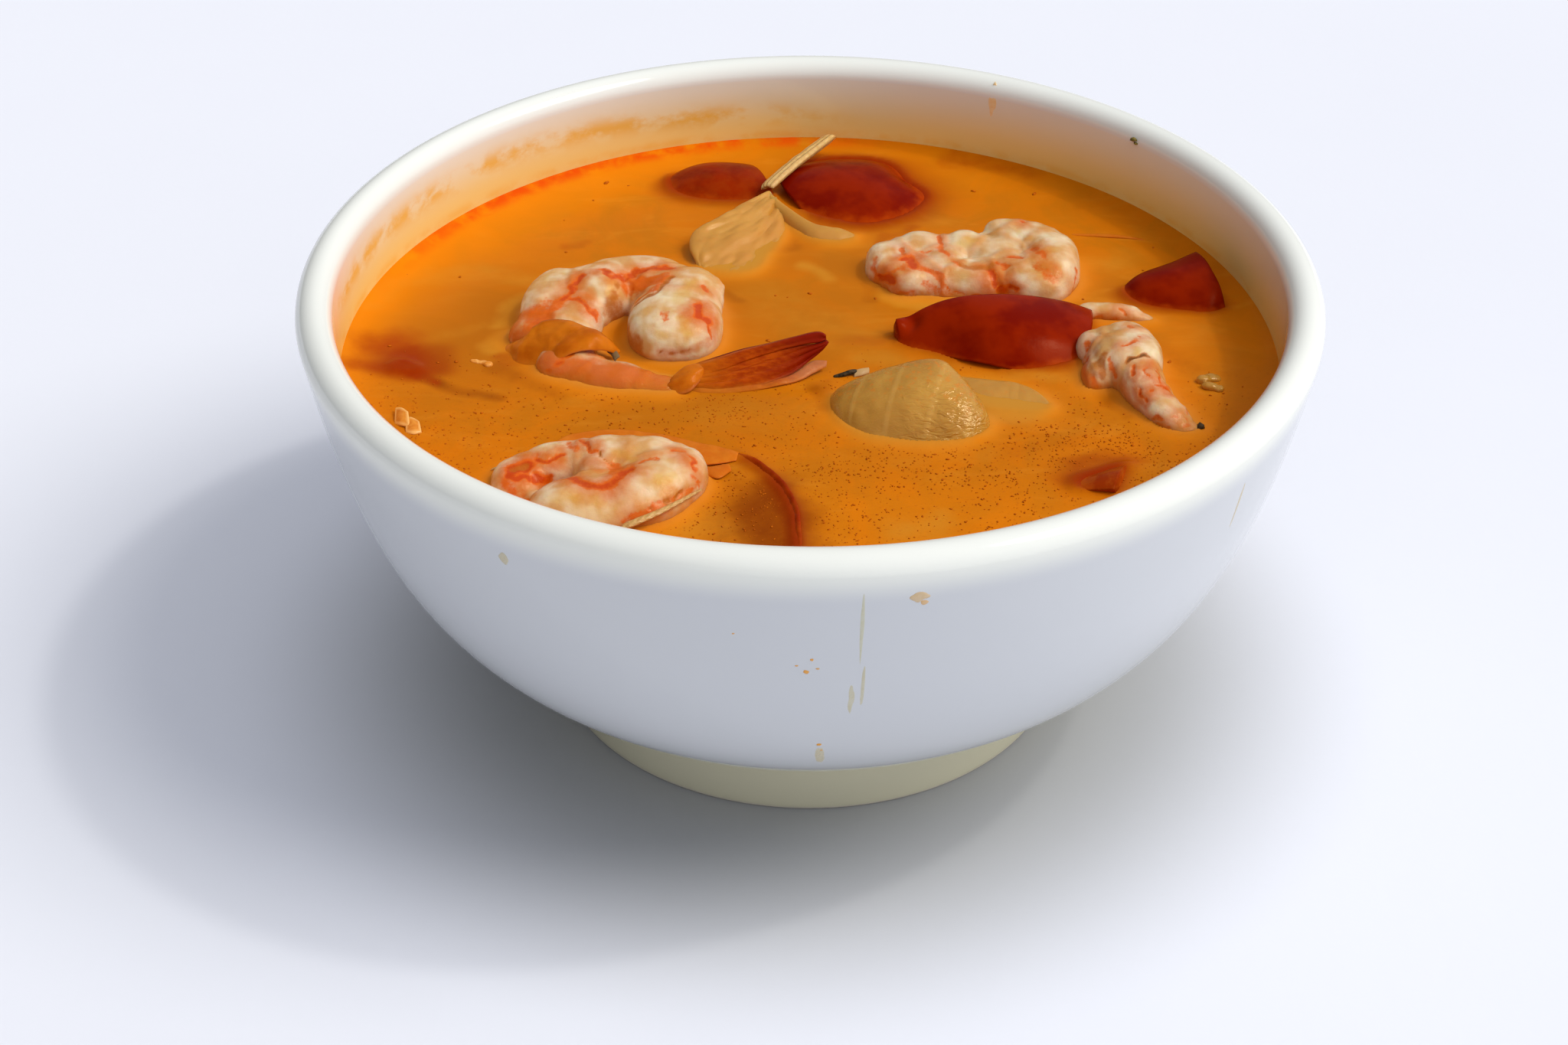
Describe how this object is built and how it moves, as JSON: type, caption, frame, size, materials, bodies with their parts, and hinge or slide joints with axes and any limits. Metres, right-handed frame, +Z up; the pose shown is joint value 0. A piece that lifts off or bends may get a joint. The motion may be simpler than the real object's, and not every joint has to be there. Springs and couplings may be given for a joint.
{
  "type": "tom yum soup in a bowl",
  "caption": "Round footed white bowl filled with orange hot-and-sour soup, with curled shrimp, tomato wedges, onion petals and a lemongrass strip standing in the broth.",
  "frame": {"origin": "on the bowl's axis, at the underside of its foot ring", "axes": "+Z up along the bowl's axis, -Y towards the front (the side seen in the picture), +X to the right"},
  "size_m": [0.16, 0.16, 0.0745],
  "materials": {
    "glaze": "gloss",
    "broth": "gloss",
    "shrimp": "satin",
    "tomato": "gloss",
    "onion": "gloss",
    "lemongrass": "matte"
  },
  "bodies": {
    "root": {"bowl": "glaze", "broth": "broth", "shrimp_1": "shrimp", "shrimp_2": "shrimp", "shrimp_3": "shrimp", "shrimp_4": "shrimp", "shrimp_scrap": "shrimp", "tomato_1": "tomato", "tomato_2": "tomato", "tomato_3": "tomato", "tomato_4": "tomato", "tomato_5": "tomato", "tomato_6": "tomato", "tomato_7": "tomato", "onion_1": "onion", "onion_2": "onion", "onion_3": "onion", "lemongrass": "lemongrass"}
  },
  "joints": []
}
